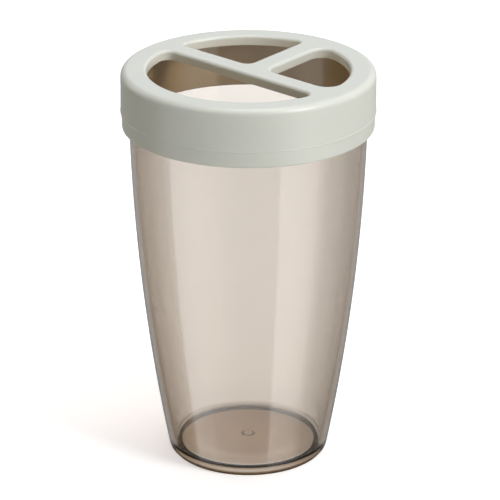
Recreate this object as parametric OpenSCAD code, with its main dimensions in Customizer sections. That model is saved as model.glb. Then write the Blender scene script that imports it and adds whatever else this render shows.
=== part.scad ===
/* [Tumbler] */
// Height of the tumbler, from the base to the rim
tumbler_h = 122.8; // [90:0.1:150]
// Outer radius of the tumbler at its rim
rim_r = 36.6; // [34:0.1:45]
// Outer radius of the tumbler at its base
base_r = 24.9; // [23:0.1:30]
// Thickness of the wall at the rim
wall_rim_t = 1.7; // [1.2:0.1:2.6]
// Thickness of the wall at the base
wall_base_t = 2.3; // [1.4:0.1:3]
// Radius of the two round edges of the rim
rim_round = 0.5; // [0.2:0.05:0.55]

/* [Tumbler floor] */
// Height of the floor's upper face above the table
floor_h = 3.3; // [3.1:0.1:4.5]
// Radius of the hollow where the floor meets the wall, inside
floor_fillet = 0.5; // [0.3:0.1:3]
// Radius of the round edge between the wall and the base, outside
base_round = 1.8; // [0.5:0.1:2.5]
// Width of the flat ring that the tumbler stands on
foot_w = 0.7; // [0.5:0.1:3]
// Radius of the round inner edge of the foot ring
foot_round = 1.2; // [0.4:0.1:1.3]
// How far the underside is raised inside the foot ring
foot_h = 2.3; // [1.8:0.1:2.4]
// Radius of the hollow where the underside meets the foot ring
foot_fillet = 0.3; // [0.1:0.05:0.4]
// Radius of the gate mark in the middle of the underside
gate_r = 2.2; // [1.5:0.1:3]
// Depth of the gate mark
gate_depth = 0.3; // [0.1:0.05:0.5]

/* [Lid] */
// Thickness of the lid's top plate
plate_t = 3.2; // [2.2:0.1:4.5]
// Length of the skirt, from the lid's top to its lip
skirt_h = 18.1; // [15:0.1:26]
// Thickness of the skirt at the parting line, where it is widest
skirt_t = 2.1; // [1.6:0.1:3]
// Gap between the tumbler's rim and the skirt
fit_gap = 0.3; // [0.2:0.05:0.6]
// Distance from the lid's top down to the parting line
parting_drop = 13; // [6:0.1:14]
// How far the skirt draws in between the parting line and the top
draft_up = 0.1; // [0.05:0.05:0.6]
// How far the skirt draws in between the parting line and the lip
draft_down = 0.35; // [0.05:0.05:0.5]
// Width of the fine ridge along the parting line
ridge_w = 0.4; // [0.2:0.05:0.8]
// How far the ridge stands out
ridge_out = 0.1; // [0.05:0.01:0.2]
// Radius of the round edge at the lid's top
top_round = 2.2; // [0.8:0.1:2.2]
// Radius of the round edges of the lip
lip_round = 0.4; // [0.1:0.05:0.5]
// Radius of the hollow where the skirt meets the underside of the plate
corner_fillet = 0.4; // [0.2:0.05:0.5]

/* [Openings] */
// Radius of the circle that the openings reach out to
ring_r = 31; // [28:0.1:32]
// Direction of the long bar, in degrees from +X
long_bar_angle = -43; // [-55:1:-30]
// Width of the long bar, from wall to wall
long_bar_w = 6.6; // [4:0.1:9]
// How far the middle of the long bar lies from the lid's axis, towards the front
long_bar_shift = 0.9; // [-3:0.1:3]
// Direction of the short bar, in degrees from +X
short_bar_angle = 52.5; // [40:0.5:65]
// Width of the short bar, from wall to wall
short_bar_w = 7.2; // [4:0.1:9]
// How far the middle of the short bar lies from the lid's axis, towards the right
short_bar_shift = 1.5; // [-3:0.1:3]
// Corner radius of the large opening
large_corner_r = 3.1; // [2:0.1:5]
// Corner radius of the opening at the right
right_corner_r = 4.2; // [2:0.1:5]
// Corner radius of the opening at the back
back_corner_r = 2.4; // [1.5:0.1:4]
// Radius of the round upper edge of the openings
edge_round = 1; // [0.4:0.05:1.4]
// Radius of the round lower edge of the openings
under_round = 0.3; // [0.1:0.05:0.6]

/* [Hidden] */

smoke = [0.62, 0.55, 0.48, 0.55];
sage = [0.8, 0.81, 0.77];

// How far a cut runs past the face that it opens
overrun = 1;
// How far the round at the bottom of a bowed side stands proud of it, so that the two cross cleanly
proud = 0.0002;

$fn = 96;
// The wall's curve is a short piece of a very large circle, so that circle takes many more sides
bow_sides = 1440;
// Facets along an opening's outline and across its round edges
corner_steps = 7;
ring_steps = 24;
edge_steps = 5;
under_steps = 2;

// The wall's curve ends upright where the round of the rim begins
bow_h = tumbler_h - rim_round;
inner_rim_r = rim_r - wall_rim_t;
inner_base_r = base_r - wall_base_t;

// Radius of a circle that is upright at bow_h and draws in by this much down to the base
function bow_radius(draw_in) = (bow_h * bow_h + draw_in * draw_in) / (2 * draw_in);

outer_bow_r = bow_radius(rim_r - base_r);
inner_bow_r = bow_radius(inner_rim_r - inner_base_r);

// Distance from the axis to the centre of a round that touches a bowed face from inside
function nested_x(top_r, bow_r, round_r, centre_z) =
    top_r - bow_r + sqrt(pow(bow_r - round_r, 2) - pow(bow_h - centre_z, 2));

// Half profile of a bowl: a flat bottom at from_z, a round corner and a bowed side up to to_z
module bowl_half(top_r, bow_r, round_r, from_z, to_z) {
    centre_z = from_z + round_r;
    centre_x = nested_x(top_r, bow_r, round_r, centre_z) + proud;
    touch_z = centre_z - round_r * (bow_h - centre_z) / (bow_r - round_r);
    intersection() {
        translate([0, touch_z])
            square([top_r + overrun, to_z - touch_z]);
        translate([top_r - bow_r, bow_h])
            circle(bow_r, $fn = bow_sides);
    }
    translate([0, from_z])
        square([centre_x, round_r]);
    translate([centre_x, centre_z])
        circle(round_r);
}

// Half profile of the rim above bow_h, with both of its edges round
module rim_half() {
    translate([rim_r - rim_round, bow_h])
        circle(rim_round);
    translate([inner_rim_r + rim_round, bow_h])
        circle(rim_round);
    translate([inner_rim_r + rim_round, bow_h - rim_round])
        square([wall_rim_t - 2 * rim_round, 2 * rim_round]);
}

// Half profile of the space under the floor, inside the foot ring, with the gate mark
module recess_half() {
    flat_r = nested_x(rim_r, outer_bow_r, base_round, base_round) - foot_w;
    recess_r = flat_r - foot_round;
    translate([0, -overrun])
        square([recess_r, foot_h - foot_fillet + overrun]);
    square([recess_r - foot_fillet, foot_h]);
    translate([recess_r - foot_fillet, foot_h - foot_fillet])
        circle(foot_fillet);
    difference() {
        translate([0, -overrun])
            square([flat_r, foot_round + overrun]);
        translate([flat_r, foot_round])
            circle(foot_round);
    }
    square([gate_r, foot_h + gate_depth]);
}

// The smoked cup: one turned wall with its floor
module tumbler() {
    color(smoke)
        rotate_extrude() {
            difference() {
                bowl_half(rim_r, outer_bow_r, base_round, 0, bow_h);
                bowl_half(inner_rim_r, inner_bow_r, floor_fillet, floor_h, bow_h + overrun);
                recess_half();
            }
            rim_half();
        }
}

lid_top = tumbler_h + plate_t;
inner_r = rim_r + fit_gap;
lid_r = inner_r + skirt_t;
shoulder_r = lid_r - draft_up;
lip_r = lid_r - draft_down;
parting_z = lid_top - parting_drop;
lip_z = lid_top - skirt_h;

// Half profile of the lid's outside. It is widest at the parting line, which bears a fine ridge.
module cap_half() {
    polygon([
        [0, lip_z],
        [lip_r - lip_round, lip_z],
        [lip_r, lip_z + lip_round],
        [lid_r, parting_z],
        [shoulder_r, lid_top - top_round],
        [shoulder_r - top_round, lid_top],
        [0, lid_top]
    ]);
    translate([lip_r - lip_round, lip_z + lip_round])
        circle(lip_round);
    translate([shoulder_r - top_round, lid_top - top_round])
        circle(top_round);
    translate([lid_r - skirt_t / 2, parting_z - ridge_w / 2])
        square([skirt_t / 2 + ridge_out, ridge_w]);
}

// Half profile of the lid's inside, with a hollow corner under the plate and a round inner lip
module cap_inside_half() {
    translate([0, lip_z - overrun])
        square([inner_r, skirt_h - plate_t - corner_fillet + overrun]);
    translate([0, tumbler_h - 2 * corner_fillet])
        square([inner_r - corner_fillet, 2 * corner_fillet]);
    translate([inner_r - corner_fillet, tumbler_h - corner_fillet])
        circle(corner_fillet);
    difference() {
        translate([inner_r - lip_round, lip_z - overrun])
            square([2 * lip_round, lip_round + overrun]);
        translate([inner_r + lip_round, lip_z + lip_round])
            circle(lip_round);
    }
}

// An opening's straight sides lie along the bars. Each side is a direction to walk in and the distance
// from the axis, and the opening lies to the left of it. The rest of the outline is the ring's circle.
long_front_side = [long_bar_angle + 180, long_bar_w / 2 + long_bar_shift];
long_back_side = [long_bar_angle, long_bar_w / 2 - long_bar_shift];
short_right_side = [short_bar_angle + 180, short_bar_w / 2 + short_bar_shift];
short_left_side = [short_bar_angle, short_bar_w / 2 - short_bar_shift];

// Unit vectors along a side and to its left
function along(side) = [cos(side[0]), sin(side[0])];
function leftward(side) = [-sin(side[0]), cos(side[0])];

// Where a side that is moved in by the corner radius meets the circle: at its start (-1) or its end (1)
function ring_corner(side, corner_r, end) =
    let(
        reach = side[1] + corner_r,
        core_r = ring_r - corner_r
    )
    reach * leftward(side) + end * sqrt(core_r * core_r - reach * reach) * along(side);

// Where two sides that are moved in by the corner radius meet each other
function bar_corner(first, second, corner_r) =
    let(
        a = leftward(first),
        b = leftward(second)
    )
    ((first[1] + corner_r) * [b.y, -b.x] + (second[1] + corner_r) * [-a.y, a.x]) / (a.x * b.y - a.y * b.x);

// The centres of an opening's round corners, anticlockwise, from one end of the circle's arc to the other
function corner_centres(sides, corner_r) = [
    ring_corner(sides[0], corner_r, -1),
    if (len(sides) > 1) bar_corner(sides[0], sides[1], corner_r),
    ring_corner(sides[len(sides) - 1], corner_r, 1)
];

// The outward directions of an opening's outline: one for each side, and the circle's at both of its ends
function outward_angles(sides, centres) = [
    atan2(centres[0].y, centres[0].x),
    for (side = sides) side[0] - 90,
    atan2(centres[len(centres) - 1].y, centres[len(centres) - 1].x)
];

function turn(from, to) = (to - from + 720) % 360;

// An opening's outline, anticlockwise, moved outwards by the given amount
function outline(sides, corner_r, grow) =
    let(
        centres = corner_centres(sides, corner_r),
        outward = outward_angles(sides, centres),
        last = len(centres) - 1,
        ring_turn = turn(outward[last + 1], outward[0])
    )
    [
        for (i = [0 : last], step = [0 : corner_steps])
            let(angle = outward[i] + turn(outward[i], outward[i + 1]) * step / corner_steps)
            centres[i] + (corner_r + grow) * [cos(angle), sin(angle)],
        for (step = [1 : ring_steps - 1])
            let(angle = outward[last + 1] + ring_turn * step / ring_steps)
            (ring_r + grow) * [cos(angle), sin(angle)]
    ];

// How far the wall has moved outwards, and how deep below the face it is, along a round edge. The list
// starts on the face. Its first point lies above the face, on the line of the first facet, for a clean cut.
function round_edge(r, steps) =
    let(
        rounded = [for (step = [0 : steps]) r * [1 - sin(90 * step / steps), 1 - cos(90 * step / steps)]]
    )
    concat([2 * rounded[0] - rounded[1]], [for (step = [1 : steps]) rounded[step]]);

// One opening, cut through the plate: its outline at each height, moved outwards where the edges are round
module opening(sides, corner_r) {
    lower = [for (p = round_edge(under_round, under_steps)) [p.x, p.y - plate_t]];
    upper = [for (p = round_edge(edge_round, edge_steps)) [p.x, -p.y]];
    layers = concat(lower, [for (i = [len(upper) - 1 : -1 : 0]) upper[i]]);
    points = [
        for (layer = layers, p = outline(sides, corner_r, layer[0]))
            [p.x, p.y, layer[1]]
    ];
    count = len(points) / len(layers);
    polyhedron(
        points = points,
        faces = [
            [for (i = [0 : count - 1]) i],
            for (k = [0 : len(layers) - 2], i = [0 : count - 1])
                let(next = (i + 1) % count)
                [k * count + i, (k + 1) * count + i, (k + 1) * count + next, k * count + next],
            [for (i = [1 : count]) len(points) - i]
        ]
    );
}

// The satin lid: a turned cap with three openings in its plate
module lid() {
    color(sage)
        difference() {
            rotate_extrude()
                difference() {
                    cap_half();
                    cap_inside_half();
                }
            translate([0, 0, lid_top]) {
                opening([long_front_side], large_corner_r);
                opening([short_right_side, long_back_side], right_corner_r);
                opening([long_back_side, short_left_side], back_corner_r);
            }
        }
}

tumbler();
lid();
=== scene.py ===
import math
from types import SimpleNamespace

import bpy
import numpy as np
from mathutils import Matrix, Vector
from mathutils.geometry import delaunay_2d_cdt


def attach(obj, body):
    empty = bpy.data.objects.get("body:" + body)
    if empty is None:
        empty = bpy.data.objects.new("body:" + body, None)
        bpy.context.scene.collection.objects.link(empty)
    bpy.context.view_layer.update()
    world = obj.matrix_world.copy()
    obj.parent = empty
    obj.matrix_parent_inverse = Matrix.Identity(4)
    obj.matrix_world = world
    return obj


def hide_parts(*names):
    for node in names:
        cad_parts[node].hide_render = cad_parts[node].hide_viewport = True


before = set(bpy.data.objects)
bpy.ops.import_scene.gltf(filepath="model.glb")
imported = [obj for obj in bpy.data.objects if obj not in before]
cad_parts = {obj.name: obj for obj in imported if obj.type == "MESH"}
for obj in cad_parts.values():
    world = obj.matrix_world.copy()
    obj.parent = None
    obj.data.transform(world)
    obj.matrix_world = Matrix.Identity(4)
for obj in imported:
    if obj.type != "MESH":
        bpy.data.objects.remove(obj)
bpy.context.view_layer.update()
mm = 0.001


# The view and the room. Lengths are in metres here.

view = {
    "place": (0.00053, -0.8, 0.397),
    "tilt": 22.47,  # degrees below the horizon
    "roll": 0.07,
    "lens": 200.1,
    "sensor": 36,
    "clip": (0.01, 50),
}

room = {
    "floorColour": (0.86, 0.86, 0.86),
    "floorForShade": (0.6, 0.59, 0.53),  # the share of the floor's light that other surfaces get back
    # what the floor gives off by itself near the object, so that its shadow stays pale, and far from it, so
    # that the background is white all over
    "floorGlow": 0.5,
    "farGlow": 1,
    "farFrom": 0.3,
    "farTo": 0.8,
    # painted light under the tumbler, which the floor gives off to clear and glossy surfaces in place of the
    # light that gets in there: a place, which is the mean of the shares of the way out to the foot and of the
    # way from back to front, and the colour there
    "under": [
        (0, (0.24, 0.195, 0.14)), (0.53, (0.24, 0.195, 0.14)), (0.59, (0.37, 0.345, 0.3)),
        (0.65, (0.45, 0.43, 0.385)), (0.71, (0.48, 0.464, 0.42)), (0.765, (0.55, 0.55, 0.52)),
        (0.79, (0.82, 0.88, 0.9)), (0.84, (0.92, 1.02, 1.08)), (1, (1.1, 1.2, 1.3)),
    ],
    "footR": 0.0233,  # where the tumbler leaves the floor
    # painted contact shadow: beyond contactR the floor's colour is cut down for clear and glossy surfaces, and
    # for the camera out to gapR
    "contactR": 0.0222,  # where the foot ring starts to keep the light from the floor
    "gapR": 0.0242,  # how far out the camera sees into the narrow gap beyond it
    "paintedShadowShare": 0.1,  # what is left of the floor's light there
    "floorDrop": 0.00005,
    "floorReach": 6,
    # between these distances, clear and glossy surfaces lose sight of the floor
    "clearBack": (0.0228, 0.0229),
    # in front they see the floor further out, so that its painted contact shadow shows mirrored low on the
    # tumbler
    "clearFront": (0.026, 0.034),
    "frontToBack": (-0.012, 0),  # where along y the front's distances turn into the back's
    # the even light that falls on everything, on the left and on the right, and the x of the directions that
    # it runs between
    "shade": (0.12, 0.6),
    "shadeAcross": (-0.8, 0.7),
    # what clear and glossy surfaces see all round: degrees from straight behind, with the right positive,
    # level and warmth
    "around": [
        (-180, 1.6, 0), (-166, 1.72, 0), (-163, 1.85, 0), (-148, 1.93, 0), (-131.5, 2.08, 0),
        (-129, 2.4, 0), (-98, 2.3, 0), (-96.5, 1.1, 0), (-90, 0.82, 0.2), (-82, 0.55, 0.25),
        (-76, 0.38, 0.3), (-68, 0.2, 0.4), (-50, 0.2, 0.4), (-40, 0.5, 0.1), (-30, 1.08, 0),
        (-20, 1.4, 0), (20, 1.4, 0), (32, 0.98, 0), (45, 0.4, 0), (62, 0.27, -0.1),
        (72, 0.3, -0.1), (85, 0.57, -0.1), (93, 0.7, -0.1), (97, 0.95, 0), (103, 1.5, 0),
        (109, 1.9, 0), (123, 2.45, 0), (141, 2.83, 0), (147.5, 2.83, 0), (149.5, 1.6, 0), (180, 1.6, 0),
    ],
    # the same for what is mirrored from behind
    "aroundMirrored": [
        (-180, 0.8, 0), (-96, 0.6, 0), (-82, 0.45, 0.15), (-68, 0.2, 0.3), (-40, 0.25, 0.2),
        (-20, 0.35, -0.05), (20, 0.35, -0.05), (45, 0.35, 0.15), (62, 0.27, 0.1), (85, 0.6, 0),
        (110, 0.9, 0), (180, 0.8, 0),
    ],
    # how much of these levels a ray sees goes by the z of its direction: first along the camera's lines of
    # sight just under the lid and low on the tumbler
    "sightDown": (-0.358, -0.425),
    "sightShare": (0.93, 1.06),
    # what is mirrored from behind is brighter above the horizon
    "behindUp": (-0.05, 0.2),
    "behindShare": 1.9,
    # what is mirrored from just above the horizon in front is darker, so that the lid's top isn't white from
    # behind. This sets in between the first two heights and fades out between the other two.
    "frontUp": (0, 0.1),
    "frontOver": (0.7, 0.45),
    "frontShare": 0.22,
    # what has gone through the foot or the floor of the tumbler sees the room dark above the horizon. It has
    # crossed more surfaces than this.
    "footCrossings": 4.5,
    "footUp": (-0.1, -0.01),
    "footShare": 0.06,
    "lampsAimAt": (0, 0, 0.07),
    "lamps": [
        # name, place, width, height, watts, colour, whether glossy surfaces mirror it
        ("keyLamp", (1.3, -0.9, 1.3), 0.6, 0.8, 20, (1, 1, 1), True),
        ("rimLamp", (-1.3, 0.9, 0.7), 0.5, 0.9, 3, (1, 1, 1), True),
        ("topLamp", (0.1, 0.3, 1.9), 1.0, 0.8, 9.6, (0.98, 0.985, 1.02), True),
        # the light that the tumbler scatters up into the openings of the lid
        ("insideLamp", (-0.008, -0.018, 0.03), 0.02, 0.02, 0.014, (1, 0.85, 0.62), False),
    ],
}


def newTree(owner):
    # Empties the node tree of a material or a world and returns short ways to add nodes to it. What goes into
    # a node is a plain value or another node's socket, and a colour is three numbers or a socket.
    owner.use_nodes = True
    owner.node_tree.nodes.clear()
    add, join = owner.node_tree.nodes.new, owner.node_tree.links.new

    def fill(socket, value):
        if isinstance(value, bpy.types.NodeSocket):
            join(value, socket)
        else:
            socket.default_value = value

    def number(kind, first, second):
        node = add("ShaderNodeMath")
        node.operation = kind
        fill(node.inputs[0], first)
        fill(node.inputs[1], second)
        return node.outputs[0]

    def spread(value, fromMin, fromMax, toMin=0, toMax=1):
        # carries a value from one range over to another, and stops at its ends
        node = add("ShaderNodeMapRange")
        fill(node.inputs["Value"], value)
        fill(node.inputs["From Min"], fromMin)
        fill(node.inputs["From Max"], fromMax)
        fill(node.inputs["To Min"], toMin)
        fill(node.inputs["To Max"], toMax)
        return node.outputs["Result"]

    def blend(factor, first, second):
        node = add("ShaderNodeMix")
        node.data_type = "RGBA"
        fill(node.inputs["Factor"], factor)
        for end, colour in (("A", first), ("B", second)):
            fill(node.inputs[end], colour if isinstance(colour, bpy.types.NodeSocket) else (*colour, 1))
        return node.outputs["Result"]

    def ramp(value, stops):
        # stops are places from 0 to 1 with their colours
        node = add("ShaderNodeValToRGB")
        marks = node.color_ramp.elements
        while len(marks) < len(stops):
            marks.new(0.5)  # it gets its own place below
        for mark, (place, colour) in zip(marks, stops):
            mark.position = place
            mark.color = (*colour, 1)
        join(value, node.inputs["Fac"])
        return node.outputs["Color"]

    def noise(place, scale, detail, roughness):
        node = add("ShaderNodeTexNoise")
        join(place, node.inputs["Vector"])
        node.inputs["Scale"].default_value = scale
        node.inputs["Detail"].default_value = detail
        node.inputs["Roughness"].default_value = roughness
        return node.outputs["Fac"]

    def choose(factor, first, second):
        # goes from the first surface to the second
        node = add("ShaderNodeMixShader")
        join(factor, node.inputs["Fac"])
        join(first, node.inputs[1])
        join(second, node.inputs[2])
        return node.outputs[0]

    return SimpleNamespace(add=add, join=join, number=number, spread=spread, blend=blend, ramp=ramp,
                           noise=noise, choose=choose)


def makeCamera():
    data = bpy.data.cameras.new("camera")
    camera = bpy.data.objects.new("camera", data)
    bpy.context.scene.collection.objects.link(camera)
    data.sensor_width = view["sensor"]
    data.lens = view["lens"]
    data.clip_start, data.clip_end = view["clip"]
    camera.location = view["place"]
    turnDown = Matrix.Rotation(math.radians(90 - view["tilt"]), 3, "X")
    camera.rotation_euler = (turnDown @ Matrix.Rotation(math.radians(view["roll"]), 3, "Z")).to_euler()
    bpy.context.scene.camera = camera


def makeSky():
    # Clear and glossy surfaces see a white room with soft boxes and dark sides. The camera sees plain white.
    world = bpy.data.worlds.new("sky")
    bpy.context.scene.world = world
    use = newTree(world)
    number, spread, blend = use.number, use.spread, use.blend
    direction = use.add("ShaderNodeSeparateXYZ")
    use.join(use.add("ShaderNodeTexCoord").outputs["Generated"], direction.inputs[0])
    x, y, z = direction.outputs
    turned = spread(number("ARCTAN2", x, y), -math.pi, math.pi)

    def ring(levels):
        # a warm level has more red and less blue
        return use.ramp(turned, [((degrees + 180) / 360, (level * (1 + warmth), level, level * (1 - warmth)))
                                 for degrees, level, warmth in levels])

    def scaled(colour, factor):
        product = use.add("ShaderNodeVectorMath")
        product.operation = "SCALE"
        use.join(colour, product.inputs[0])
        use.join(factor, product.inputs["Scale"])
        return product.outputs[0]

    rays = use.add("ShaderNodeLightPath").outputs
    clear, glossy = rays["Is Transmission Ray"], rays["Is Glossy Ray"]
    # a ray that is bent through a clear surface counts as glossy too, and a mirrored one only as glossy
    mirrored = number("SUBTRACT", glossy, clear)
    mirroredBehind = number("MULTIPLY", mirrored, number("GREATER_THAN", y, 0))
    manyCrossed = number("GREATER_THAN", rays["Transmission Depth"], room["footCrossings"])
    footUp = number("MULTIPLY", spread(z, *room["footUp"]), number("MULTIPLY", clear, manyCrossed))
    justAbove = number("MULTIPLY", spread(z, *room["frontUp"]), spread(z, *room["frontOver"]))
    frontUp = number("MULTIPLY", mirrored, justAbove)
    share = spread(z, *room["sightDown"], *room["sightShare"])
    for darker, least in ((footUp, room["footShare"]), (frontUp, room["frontShare"])):
        share = number("MULTIPLY", share, spread(darker, 0, 1, 1, least))
    behindShare = spread(z, *room["behindUp"], 1, room["behindShare"])
    seen = blend(mirroredBehind, scaled(ring(room["around"]), share),
                 scaled(ring(room["aroundMirrored"]), behindShare))
    shade = spread(x, *room["shadeAcross"], *room["shade"])
    lit = blend(number("MAXIMUM", clear, glossy), shade, seen)
    light = use.add("ShaderNodeBackground")
    use.join(blend(rays["Is Camera Ray"], lit, (1, 1, 1)), light.inputs["Color"])
    use.join(light.outputs[0], use.add("ShaderNodeOutputWorld").inputs["Surface"])


def makeLamps():
    for name, place, width, height, watts, colour, mirrored in room["lamps"]:
        data = bpy.data.lights.new(name, "AREA")
        data.shape = "RECTANGLE"
        data.size = width
        data.size_y = height
        data.energy = watts
        data.color = colour
        lamp = bpy.data.objects.new(name, data)
        bpy.context.scene.collection.objects.link(lamp)
        lamp.location = place
        lamp.rotation_euler = (Vector(room["lampsAimAt"]) - lamp.location).to_track_quat("-Z", "Y").to_euler()
        lamp.visible_camera = False
        lamp.visible_glossy = mirrored
        lamp.visible_transmission = False


def floorWhite():
    # White paint that also gives off light where the camera sees it. Seen through clear and glossy surfaces it
    # has painted light under the tumbler and a painted contact shadow round the foot, and ends close to it.
    material = bpy.data.materials.new("floorWhite")
    use = newTree(material)
    number, spread, blend = use.number, use.spread, use.blend
    rays = use.add("ShaderNodeLightPath").outputs
    camera = rays["Is Camera Ray"]
    clearOrGlossy = number("MAXIMUM", rays["Is Transmission Ray"], rays["Is Glossy Ray"])
    place = use.add("ShaderNodeTexCoord").outputs["Object"]
    distance = use.add("ShaderNodeVectorMath")
    distance.operation = "LENGTH"
    use.join(place, distance.inputs[0])
    away = distance.outputs["Value"]
    parts = use.add("ShaderNodeSeparateXYZ")
    use.join(place, parts.inputs[0])
    y = parts.outputs["Y"]
    # painted contact shadow: the floor's colour is darkened under the foot ring and in the gap between the
    # floor and the round edge of the base
    near = number("MULTIPLY", camera, number("LESS_THAN", away, room["gapR"]))
    paintedContactShadow = number("MULTIPLY", number("MAXIMUM", clearOrGlossy, near),
                 number("GREATER_THAN", away, room["contactR"]))
    colour = np.array(room["floorColour"])
    white = blend(rays["Is Diffuse Ray"], colour, colour * np.array(room["floorForShade"]))
    paint = use.add("ShaderNodeBsdfDiffuse")
    use.join(blend(paintedContactShadow, white, colour * room["paintedShadowShare"]), paint.inputs["Color"])
    # painted light under the tumbler for clear and glossy surfaces, and the floor's own even glow for the
    # camera
    outward, forward = spread(away, 0, room["footR"]), spread(y, room["footR"], -room["footR"])
    under = use.ramp(number("MULTIPLY", number("ADD", outward, forward), 0.5), room["under"])
    inside = number("LESS_THAN", away, room["contactR"])
    under = blend(number("MULTIPLY", clearOrGlossy, inside), (0, 0, 0), under)
    ownLight = spread(away, room["farFrom"], room["farTo"], room["floorGlow"], room["farGlow"])
    glow = use.add("ShaderNodeEmission")
    use.join(blend(number("SUBTRACT", camera, near), under, ownLight), glow.inputs["Color"])
    seen = use.add("ShaderNodeAddShader")
    use.join(paint.outputs[0], seen.inputs[0])
    use.join(glow.outputs[0], seen.inputs[1])
    # away from the object, clear and glossy surfaces see the ring of levels in place of the floor
    ends = [spread(y, *room["frontToBack"], front, back)
            for front, back in zip(room["clearFront"], room["clearBack"])]
    gone = number("MULTIPLY", clearOrGlossy, spread(away, *ends))
    surface = use.choose(gone, seen.outputs[0], use.add("ShaderNodeBsdfTransparent").outputs[0])
    use.join(surface, use.add("ShaderNodeOutputMaterial").inputs["Surface"])
    return material


def makeFloor():
    reach, z = room["floorReach"], -room["floorDrop"]
    corners = [(-reach, -reach, z), (reach, -reach, z), (reach, reach, z), (-reach, reach, z)]
    mesh = bpy.data.meshes.new("floor")
    mesh.from_pydata(corners, [], [(0, 1, 2, 3)])
    mesh.materials.append(floorWhite())
    floor = bpy.data.objects.new("floor", mesh)
    bpy.context.scene.collection.objects.link(floor)


makeCamera()
makeSky()
makeLamps()
makeFloor()
bpy.context.scene.view_settings.view_transform = "Standard"
print("room: camera, sky, lamps and floor")


# Turned profiles. A profile is an array with the columns r, z, normal r and normal z, in millimetres.

def roundPart(centre, radius, fromAngle, toAngle, steps, hollow=False):
    # Centre plus radius times (cos a, sin a), with a running evenly between two angles in degrees. The normal
    # points away from the centre, or towards it on a hollow.
    a = np.radians(np.linspace(fromAngle, toAngle, steps + 1))
    out = np.stack([np.cos(a), np.sin(a)], axis=1)
    return np.hstack([np.array(centre) + radius * out, -out if hollow else out])


def flatPart(points, normal):
    # Points on a flat or conical stretch, which all have one normal
    points = np.array(points, dtype=float)
    normal = np.array(normal, dtype=float) / np.hypot(*normal)
    return np.hstack([points, np.tile(normal, (len(points), 1))])


def turnedGrid(profile, angles):
    # Each profile point (r, z) carried round the axis: (r cos t, r sin t, z), and its normal likewise
    r, z, nr, nz = (column[:, None] for column in profile.T)
    c, s = np.cos(angles)[None, :], np.sin(angles)[None, :]
    places = np.stack([r * c, r * s, z + 0 * c], axis=2)
    normals = np.stack([nr * c, nr * s, nz + 0 * c], axis=2)
    return places.reshape(-1, 3), normals.reshape(-1, 3)


def gridFaces(rows, columns, first=0):
    # Quads between neighbouring points of a grid whose columns close up, facing away on the right hand of the
    # way the rows run
    i, j = np.meshgrid(np.arange(rows - 1), np.arange(columns), indexing="ij")
    k = (j + 1) % columns
    quads = np.stack([i * columns + j, i * columns + k, (i + 1) * columns + k, (i + 1) * columns + j], axis=2)
    return first + quads.reshape(-1, 4)


def makePiece(name, places, normals, faces, body, node, material):
    # Puts arrays into a mesh, in metres, with the worked-out normals
    mesh = bpy.data.meshes.new(name)
    mesh.from_pydata((places * mm).tolist(), [], [tuple(face) for face in faces])
    mesh.validate()
    mesh.polygons.foreach_set("use_smooth", [True] * len(mesh.polygons))
    mesh.normals_split_custom_set_from_vertices(normals.tolist())
    mesh.update()
    mesh.materials.append(material)
    piece = bpy.data.objects.new(name, mesh)
    bpy.context.scene.collection.objects.link(piece)
    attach(piece, body)
    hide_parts(node)


# The tumbler, in millimetres

tumbler = {
    "height": 122.8,
    "rimR": 36.6,
    "baseR": 24.9,
    "wallRim": 1.7,
    "wallBase": 2.3,
    "rimRound": 0.5,
    "floorH": 3.3,
    "floorFillet": 0.5,
    "baseRound": 1.8,
    "footW": 0.7,
    "footRound": 1.2,
    "footH": 2.3,
    "footFillet": 0.3,
    "gateR": 2.2,
    "gateDepth": 0.3,
    "gateGroove": 0.22,  # a fine groove runs round it
    "gateRound": 0.1,
    "underRings": (6, 12, 18),  # where the flats under and on the floor have rings of points
    "floorRings": (18, 12, 6, 2),
    "turns": 288,
    # how many steps each curve of the profile has
    "grooveSteps": 12,
    "gateSteps": 3,
    "footFilletSteps": 6,
    "footSteps": 12,
    "baseSteps": 16,
    "wallSteps": 90,
    "rimSteps": 8,
    "floorFilletSteps": 16,
    # the plastic: how it bends light, and how much of each colour one metre takes away
    "ior": 1.57,
    "smokeColour": (0.394, 0.3, 0.195),
    "smokeDensity": 350,
    "letThrough": (1, 0.865, 0.645),  # what a surface leaves of the room's light on its way to other surfaces
    "patches": (55, 5, 0.62),  # noise scale, detail and roughness
    "patchRange": (0.3, 0.75),
    "patchRoughness": (0, 0.02),
}


def smokedPlastic():
    t = tumbler
    material = bpy.data.materials.new("smokedPlastic")
    use = newTree(material)
    output = use.add("ShaderNodeOutputMaterial")
    shader = use.add("ShaderNodeBsdfPrincipled")
    shader.inputs["Base Color"].default_value = (1, 1, 1, 1)
    shader.inputs["IOR"].default_value = t["ior"]
    shader.inputs["Transmission Weight"].default_value = 1
    # handling leaves faint uneven patches in the polish
    patches = use.noise(use.add("ShaderNodeTexCoord").outputs["Object"], *t["patches"])
    use.join(use.spread(patches, *t["patchRange"], *t["patchRoughness"]), shader.inputs["Roughness"])
    # the light of the room goes straight through it on its way to other surfaces
    rays = use.add("ShaderNodeLightPath").outputs
    letThrough = use.add("ShaderNodeBsdfTransparent")
    letThrough.inputs["Color"].default_value = (*t["letThrough"], 1)
    surface = shader.outputs[0]
    for ray in ("Is Shadow Ray", "Is Diffuse Ray"):
        surface = use.choose(rays[ray], surface, letThrough.outputs[0])
    use.join(surface, output.inputs["Surface"])
    smoke = use.add("ShaderNodeVolumeAbsorption")
    smoke.inputs["Color"].default_value = (*t["smokeColour"], 1)
    smoke.inputs["Density"].default_value = t["smokeDensity"]
    use.join(smoke.outputs[0], output.inputs["Volume"])
    return material


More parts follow.
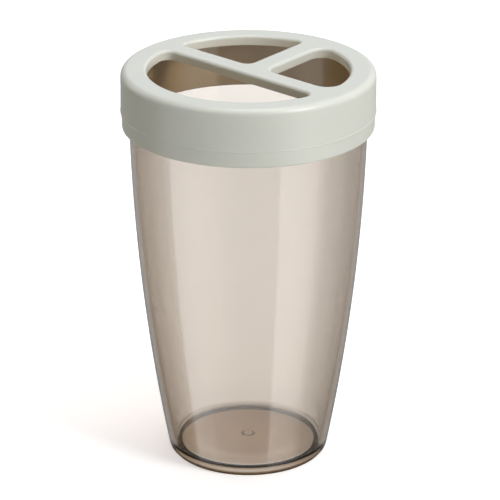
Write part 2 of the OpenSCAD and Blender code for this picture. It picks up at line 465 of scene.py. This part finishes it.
def makeTumbler():
    t = tumbler
    bowH = t["height"] - t["rimRound"]
    innerRimR = t["rimR"] - t["wallRim"]
    innerBaseR = t["baseR"] - t["wallBase"]

    def bow(topR, drawIn, roundR, centreZ):
        # The big circle that is upright at bowH and draws in by drawIn at the base, and the round that
        # touches it from inside: the circle's radius, the round's distance from the axis, the touch's angle
        bowR = (bowH ** 2 + drawIn ** 2) / (2 * drawIn)
        rise = bowH - centreZ
        roundX = topR - bowR + math.sqrt((bowR - roundR) ** 2 - rise ** 2)
        return bowR, roundX, -math.degrees(math.asin(rise / (bowR - roundR)))

    outR, outX, outTouch = bow(t["rimR"], t["rimR"] - t["baseR"], t["baseRound"], t["baseRound"])
    inZ = t["floorH"] + t["floorFillet"]
    inR, inX, inTouch = bow(innerRimR, innerRimR - innerBaseR, t["floorFillet"], inZ)
    recessR = outX - t["footW"] - t["footRound"]
    gateTop, groove, edge, foot = t["footH"] + t["gateDepth"], t["gateGroove"], t["gateRound"], t["footFillet"]
    profile = np.vstack([
        # under the floor, from the gate mark out to the foot ring
        flatPart([[t["gateR"] / 2, gateTop]], (0, -1)),
        roundPart((t["gateR"] - groove, gateTop), groove, 180, 0, t["grooveSteps"], hollow=True),
        roundPart((t["gateR"] + edge, t["footH"] + edge), edge, 180, 270, t["gateSteps"]),
        flatPart([[r, t["footH"]] for r in t["underRings"]], (0, -1)),
        roundPart((recessR - foot, t["footH"] - foot), foot, 90, 0, t["footFilletSteps"], hollow=True),
        roundPart((recessR + t["footRound"], t["footRound"]), t["footRound"], 180, 270, t["footSteps"]),
        # outside, from the base up to the rim
        roundPart((outX, t["baseRound"]), t["baseRound"], -90, outTouch, t["baseSteps"]),
        roundPart((t["rimR"] - outR, bowH), outR, outTouch, 0, t["wallSteps"])[1:-1],
        roundPart((t["rimR"] - t["rimRound"], bowH), t["rimRound"], 0, 90, t["rimSteps"]),
        # inside, down to the middle of the floor
        roundPart((innerRimR + t["rimRound"], bowH), t["rimRound"], 90, 180, t["rimSteps"]),
        roundPart((innerRimR - inR, bowH), inR, 0, inTouch, t["wallSteps"], hollow=True)[1:-1],
        roundPart((inX, inZ), t["floorFillet"], inTouch, -90, t["floorFilletSteps"], hollow=True),
        flatPart([[r, t["floorH"]] for r in t["floorRings"]], (0, 1)),
    ])
    angles = np.linspace(0, 2 * np.pi, t["turns"], endpoint=False)
    places, normals = turnedGrid(profile, angles)
    rows, columns = len(profile), t["turns"]
    faces = gridFaces(rows, columns).tolist()
    # the two middles
    under, over = rows * columns, rows * columns + 1
    places = np.vstack([places, [[0, 0, gateTop], [0, 0, t["floorH"]]]])
    normals = np.vstack([normals, [[0, 0, -1], [0, 0, 1]]])
    ring = np.arange(columns)
    after = (ring + 1) % columns
    last = (rows - 1) * columns
    faces += np.stack([np.full(columns, under), after, ring], axis=1).tolist()
    faces += np.stack([np.full(columns, over), last + ring, last + after], axis=1).tolist()
    makePiece("smokedCup", places, normals, faces, "tumbler", "tumbler", smokedPlastic())


makeTumbler()
print("tumbler: turned wall and floor")


# The lid, in millimetres

lid = {
    "top": 126.0,
    "plate": 3.2,
    "skirt": 18.1,
    "skirtT": 2.1,
    "innerR": 36.9,
    "partingDrop": 13,
    # the skirt draws in from the parting line up to the top edge and down to the lip
    "draftUp": 0.1,
    "draftDown": 0.35,
    "draftTop": 5,  # how far below the top the upper stretch ends
    "draftLow": 2.5,  # how far above the lip the lower one ends
    "lowLean": -0.06,  # the rise of the lower stretch's normal
    "ridgeW": 0.4,
    "ridgeOut": 0.1,
    "topRound": 2.2,
    "lipRound": 0.4,
    "cornerFillet": 0.4,
    "turns": 288,
    # how many steps each curve has, those of the openings included
    "topSteps": 14,
    "ridgeSteps": 8,
    "lipSteps": 6,
    "filletSteps": 5,
    "cornerSteps": 14,
    "ringSteps": 64,
    "edgeSteps": 8,
    "underSteps": 4,
    # the openings: a side is a direction to walk in, with the opening on the left, and its distance from
    # the axis
    "ringR": 31,
    "longBar": (-43, 6.6, 0.9),  # direction, width, shift to the front
    "shortBar": (52.5, 7.2, 1.5),  # direction, width, shift to the right
    "corners": (3.1, 4.2, 2.4),  # large opening, right, back
    "edgeRound": 1.0,
    "underRound": 0.3,
    # the plastic
    "colour": (0.727, 0.742, 0.682),
    "ior": 1.5,
    "drift": (0.975, 1.02),  # the shares of the colour that it drifts between
    "driftNoise": (38, 4, 0.55),  # noise scale, detail and roughness
    "satin": (0.29, 0.35),  # the roughness where hands have polished it, and elsewhere
    "satinNoise": (120, 6, 0.7),
    "satinRange": (0.3, 0.7),
    "grain": 0.25,  # how strongly it shows
    "grainDepth": 0.00002,  # metres
    "grainNoise": (5200, 2, 0.5),
    "glow": 0.3,  # how much light goes a little way in, and how far, in metres
    "glowDepth": 0.003,
    "glowColour": (1, 0.95, 0.8),
}


def satinPlastic():
    d = lid
    material = bpy.data.materials.new("satinPlastic")
    use = newTree(material)
    shader = use.add("ShaderNodeBsdfPrincipled")
    shader.inputs["IOR"].default_value = d["ior"]
    # light goes a little way into the plastic and lightens its shaded walls
    shader.inputs["Subsurface Weight"].default_value = d["glow"]
    shader.inputs["Subsurface Radius"].default_value = d["glowColour"]
    shader.inputs["Subsurface Scale"].default_value = d["glowDepth"]
    # the colour drifts a little, as pigment does in a moulding
    place = use.add("ShaderNodeTexCoord").outputs["Object"]
    dark, light = (np.array(d["colour"]) * share for share in d["drift"])
    use.join(use.blend(use.noise(place, *d["driftNoise"]), dark, light), shader.inputs["Base Color"])
    # satin: patches that hands have polished, and fine grain
    satin = use.spread(use.noise(place, *d["satinNoise"]), *d["satinRange"], *d["satin"])
    use.join(satin, shader.inputs["Roughness"])
    bump = use.add("ShaderNodeBump")
    bump.inputs["Strength"].default_value = d["grain"]
    bump.inputs["Distance"].default_value = d["grainDepth"]
    use.join(use.noise(place, *d["grainNoise"]), bump.inputs["Height"])
    use.join(bump.outputs["Normal"], shader.inputs["Normal"])
    use.join(shader.outputs[0], use.add("ShaderNodeOutputMaterial").inputs["Surface"])
    return material


def openingOutline(sides, cornerR):
    # An opening's outline, anticlockwise: round corners between straight sides and the ring's circle.
    # A corner's centre lies cornerR inside both of the lines that it joins. Returns points and normals, which
    # point away from the opening's middle.
    turned = np.radians([side[0] for side in sides])
    along = np.stack([np.cos(turned), np.sin(turned)], axis=1)
    leftward = np.stack([-np.sin(turned), np.cos(turned)], axis=1)
    reach = np.array([side[1] for side in sides]) + cornerR
    half = np.sqrt((lid["ringR"] - cornerR) ** 2 - reach ** 2)
    centres = [reach[0] * leftward[0] - half[0] * along[0]]
    if len(sides) > 1:
        centres.append(np.linalg.solve(leftward, reach))
    centres.append(reach[-1] * leftward[-1] + half[-1] * along[-1])
    outward = np.degrees(np.concatenate([
        [math.atan2(centres[0][1], centres[0][0])],
        turned - np.pi / 2,
        [math.atan2(centres[-1][1], centres[-1][0])],
    ]))
    points, normals = [], []
    for centre, start, end in zip(centres, outward[:-1], outward[1:]):
        a = np.radians(start + (end - start) % 360 * np.linspace(0, 1, lid["cornerSteps"] + 1))
        normal = np.stack([np.cos(a), np.sin(a)], axis=1)
        points.append(centre + cornerR * normal)
        normals.append(normal)
    wayRound = (outward[0] - outward[-1]) % 360
    a = np.radians(outward[-1] + wayRound * np.linspace(0, 1, lid["ringSteps"] + 1)[1:-1])
    normal = np.stack([np.cos(a), np.sin(a)], axis=1)
    return np.vstack(points + [lid["ringR"] * normal]), np.vstack(normals + [normal])


def openingWall(sides, cornerR):
    # The outline carried down through the plate: it moves out along its normals over the round edges.
    # Rows run from the top face to the underside.
    d = lid
    points, normals = openingOutline(sides, cornerR)
    upper, lower = d["edgeSteps"] + 1, d["underSteps"] + 1
    angle = np.radians(np.concatenate([np.linspace(90, 0, upper), np.linspace(0, -90, lower)]))
    radius = np.repeat([d["edgeRound"], d["underRound"]], [upper, lower])
    centreZ = np.repeat([d["top"] - d["edgeRound"], d["top"] - d["plate"] + d["underRound"]], [upper, lower])
    out = radius * (1 - np.cos(angle))

    def withZ(flat, z):
        # every row's points in x and y, with the row's own z
        return np.concatenate([flat, np.broadcast_to(z[:, None, None], (*flat.shape[:2], 1))], axis=2)

    places = withZ(points[None] + out[:, None, None] * normals[None], centreZ + radius * np.sin(angle))
    facing = withZ(-np.cos(angle)[:, None, None] * normals[None], np.sin(angle))
    return places, facing


def plateFaces(loops):
    # Triangles between the outer loop and the openings' loops. The openings are convex, so a triangle with
    # all its corners on one opening's loop lies inside that opening and is left out.
    counts = [len(loop) for loop in loops]
    starts = np.concatenate([[0], np.cumsum(counts)])
    edges = []
    for start, count in zip(starts, counts):
        edges += [(int(start + i), int(start + (i + 1) % count)) for i in range(count)]
    sameWithin = 1e-7  # points nearer to each other than this are taken as one
    found = delaunay_2d_cdt([tuple(p) for p in np.vstack(loops).tolist()], edges, [], 0, sameWithin)
    original = np.array([ids[0] for ids in found[3]])
    triangles = original[np.array(found[2])]
    owner = np.searchsorted(starts, triangles, side="right") - 1
    inside = (owner[:, 0] > 0) & (owner[:, 0] == owner[:, 1]) & (owner[:, 1] == owner[:, 2])
    return triangles[~inside]


def makeLid():
    d = lid
    outerR = d["innerR"] + d["skirtT"]
    shoulderR, lipR = outerR - d["draftUp"], outerR - d["draftDown"]
    partingZ, lipZ, underZ = d["top"] - d["partingDrop"], d["top"] - d["skirt"], d["top"] - d["plate"]
    halfRidge, ridgeOut = d["ridgeW"] / 2, d["ridgeOut"]
    ridgeEnd = math.degrees(math.acos(1 - ridgeOut / halfRidge))  # where its round meets the skirt
    lipRound, fillet = d["lipRound"], d["cornerFillet"]
    profile = np.vstack([
        roundPart((shoulderR - d["topRound"], d["top"] - d["topRound"]), d["topRound"], 90, 0, d["topSteps"]),
        flatPart([[shoulderR, d["top"] - d["draftTop"]], [outerR, partingZ + halfRidge]], (1, 0)),
        # the fine ridge left by the mould's parting line
        roundPart((outerR + ridgeOut - halfRidge, partingZ), halfRidge, ridgeEnd, -ridgeEnd, d["ridgeSteps"]),
        flatPart([[outerR, partingZ - halfRidge], [lipR, lipZ + d["draftLow"]]], (1, d["lowLean"])),
        roundPart((lipR - lipRound, lipZ + lipRound), lipRound, 0, -90, d["lipSteps"]),
        roundPart((d["innerR"] + lipRound, lipZ + lipRound), lipRound, -90, -180, d["lipSteps"]),
        roundPart((d["innerR"] - fillet, underZ - fillet), fillet, 0, 90, d["filletSteps"], hollow=True),
    ])
    angles = np.linspace(0, 2 * np.pi, d["turns"], endpoint=False)
    places, normals = turnedGrid(profile[::-1], angles)
    rows, columns = len(profile), d["turns"]
    faces = gridFaces(rows, columns).tolist()
    longA, longW, longShift = d["longBar"]
    shortA, shortW, shortShift = d["shortBar"]
    longFront = (longA + 180, longW / 2 + longShift)
    longBack = (longA, longW / 2 - longShift)
    shortRight = (shortA + 180, shortW / 2 + shortShift)
    shortLeft = (shortA, shortW / 2 - shortShift)
    openings = [[longFront], [shortRight, longBack], [longBack, shortLeft]]
    # the loops of points that the plate's two faces run between, the outer ones first
    topRing = (rows - 1) * columns + np.arange(columns)
    loopsTop, idsTop = [places[topRing, :2]], [topRing]
    loopsUnder, idsUnder = [places[:columns, :2]], [np.arange(columns)]
    for sides, cornerR in zip(openings, d["corners"]):
        wall, facing = openingWall(sides, cornerR)
        first, layers, count = len(places), wall.shape[0], wall.shape[1]
        places = np.vstack([places, wall.reshape(-1, 3)])
        normals = np.vstack([normals, facing.reshape(-1, 3)])
        faces += gridFaces(layers, count, first).tolist()
        loopsTop.append(wall[0, :, :2])
        idsTop.append(first + np.arange(count))
        loopsUnder.append(wall[-1, :, :2])
        idsUnder.append(first + (layers - 1) * count + np.arange(count))
    faces += np.concatenate(idsTop)[plateFaces(loopsTop)].tolist()
    faces += np.concatenate(idsUnder)[plateFaces(loopsUnder)][:, ::-1].tolist()
    makePiece("satinCap", places, normals, faces, "lid", "lid", satinPlastic())


makeLid()
print("lid: turned cap, plate and three openings")
